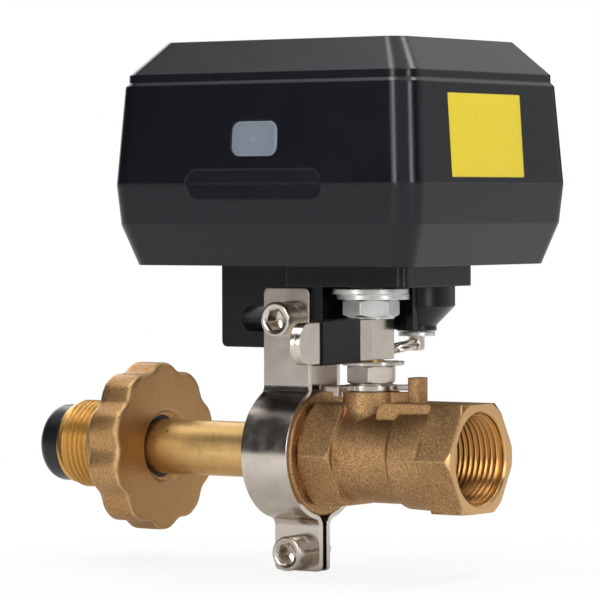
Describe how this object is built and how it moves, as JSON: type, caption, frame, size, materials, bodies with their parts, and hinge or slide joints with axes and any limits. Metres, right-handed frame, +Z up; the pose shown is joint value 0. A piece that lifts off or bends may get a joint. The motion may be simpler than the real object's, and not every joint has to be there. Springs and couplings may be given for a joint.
{
  "type": "motorized ball valve",
  "caption": "Electric actuator clamped to a small brass ball valve, with hand lever, pull-ring clutch, threaded outlet, and tube with lobed handwheel nut.",
  "frame": {"origin": "centre of the outlet port's end face, on the pipe axis", "axes": "+X along the pipe out of the outlet port, +Z up to the actuator, -Y towards the indicator button"},
  "size_m": [0.1304, 0.0771, 0.1288],
  "materials": {
    "black_plastic": "moulded black plastic, fine matte texture",
    "button_lens": "milky translucent plastic",
    "nickel": "satin nickel plating on pressed steel",
    "zinc": "bright zinc plating",
    "steel": "machined steel",
    "forged_brass": "sandblasted forged brass",
    "drawn_brass": "smooth drawn brass",
    "cast_brass": "cast brass, satin",
    "white_seal": "white fluoropolymer",
    "rubber": "satin black rubber",
    "black_nylon": "black nylon",
    "grip_vinyl": "dipped black vinyl",
    "board": "green circuit board"
  },
  "bodies": {
    "frame": {"lower_housing": "black_plastic", "upper_housing": "black_plastic", "housing_seal": "rubber", "housing_screws": "steel", "plate_screws": "steel", "base_plate": "black_plastic", "clutch_boss": "black_plastic", "output_bush": "drawn_brass", "gearbox_plate": "zinc", "gearbox_screws": "steel", "motor": "zinc", "button_switch": "black_plastic", "circuit_board": "board", "board_parts": "black_plastic", "power_inlet": "steel", "valve_body": "forged_brass", "end_adapter": "forged_brass", "ball_seats": "white_seal", "stem_packing": "white_seal", "nipple_tube": "drawn_brass", "nose_seal": "rubber", "clamp_front": "nickel", "clamp_rear": "nickel", "clamp_nuts": "nickel", "clamp_screw_upper": "nickel", "clamp_screw_lower": "nickel"},
    "stem": {"valve_stem": "drawn_brass", "ball": "nickel", "stop_plate": "nickel", "stem_nut": "nickel", "thin_washer": "nickel", "lever": "nickel", "grip_sleeve": "grip_vinyl", "upper_nut": "zinc", "large_washers": "zinc", "output_shaft": "steel", "output_gear": "steel"},
    "motor_rotor": {"motor_pinion": "steel"},
    "clutch": {"clutch_pin": "steel", "clutch_washer": "nickel", "clutch_clip": "steel", "clutch_spring": "steel"},
    "clutch_wheel": {"clutch_gear": "steel"},
    "clutch_ring": {"pull_ring": "nickel"},
    "button": {"indicator_button": "button_lens"},
    "nut_carrier": {"nut_guide_bush": "black_nylon"},
    "handwheel": {"handwheel_nut": "cast_brass"}
  },
  "joints": [
    {"name": "stem_turn", "type": "hinge", "parent": "frame", "child": "stem", "pos_m": [-0.0314, 0, 0.02], "axis": [0, 0, 1], "range_deg": [-7.6, 82.4]},
    {"name": "motor_spin", "type": "hinge", "parent": "frame", "child": "motor_rotor", "pos_m": [-0.0444, 0.02, 0.058], "axis": [0, 0, 1], "range_deg": [-30, 192]},
    {"name": "clutch_pull", "type": "slide", "parent": "frame", "child": "clutch", "axis": [0, 0, -1], "range_m": [0, 0.0045], "stiffness_N_per_m": 1200, "springref_m": -0.003, "deforming": ["clutch_spring"]},
    {"name": "clutch_gear_spin", "type": "hinge", "parent": "clutch", "child": "clutch_wheel", "pos_m": [-0.0314, 0.02, 0.058], "axis": [0, 0, 1], "range_deg": [-166, 26]},
    {"name": "ring_swing", "type": "hinge", "parent": "clutch", "child": "clutch_ring", "pos_m": [-0.0314, 0.02, 0.0264], "axis": [0.4226, -0.9063, 0], "range_deg": [-10, 75]},
    {"name": "button_press", "type": "slide", "parent": "frame", "child": "button", "axis": [0, 1, 0], "range_m": [0, 0.0008], "stiffness_N_per_m": 900, "springref_m": -0.0005},
    {"name": "nut_slide", "type": "slide", "parent": "frame", "child": "nut_carrier", "axis": [1, 0, 0], "range_m": [0, 0.034]},
    {"name": "handwheel_spin", "type": "hinge", "parent": "nut_carrier", "child": "handwheel", "pos_m": [-0.1, 0, 0], "axis": [1, 0, 0], "continuous": true}
  ],
  "couplings": [
    {"joint": "clutch_gear_spin", "follows": "stem_turn", "ratio": -1.8571},
    {"joint": "motor_spin", "follows": "stem_turn", "ratio": 2.1667}
  ]
}
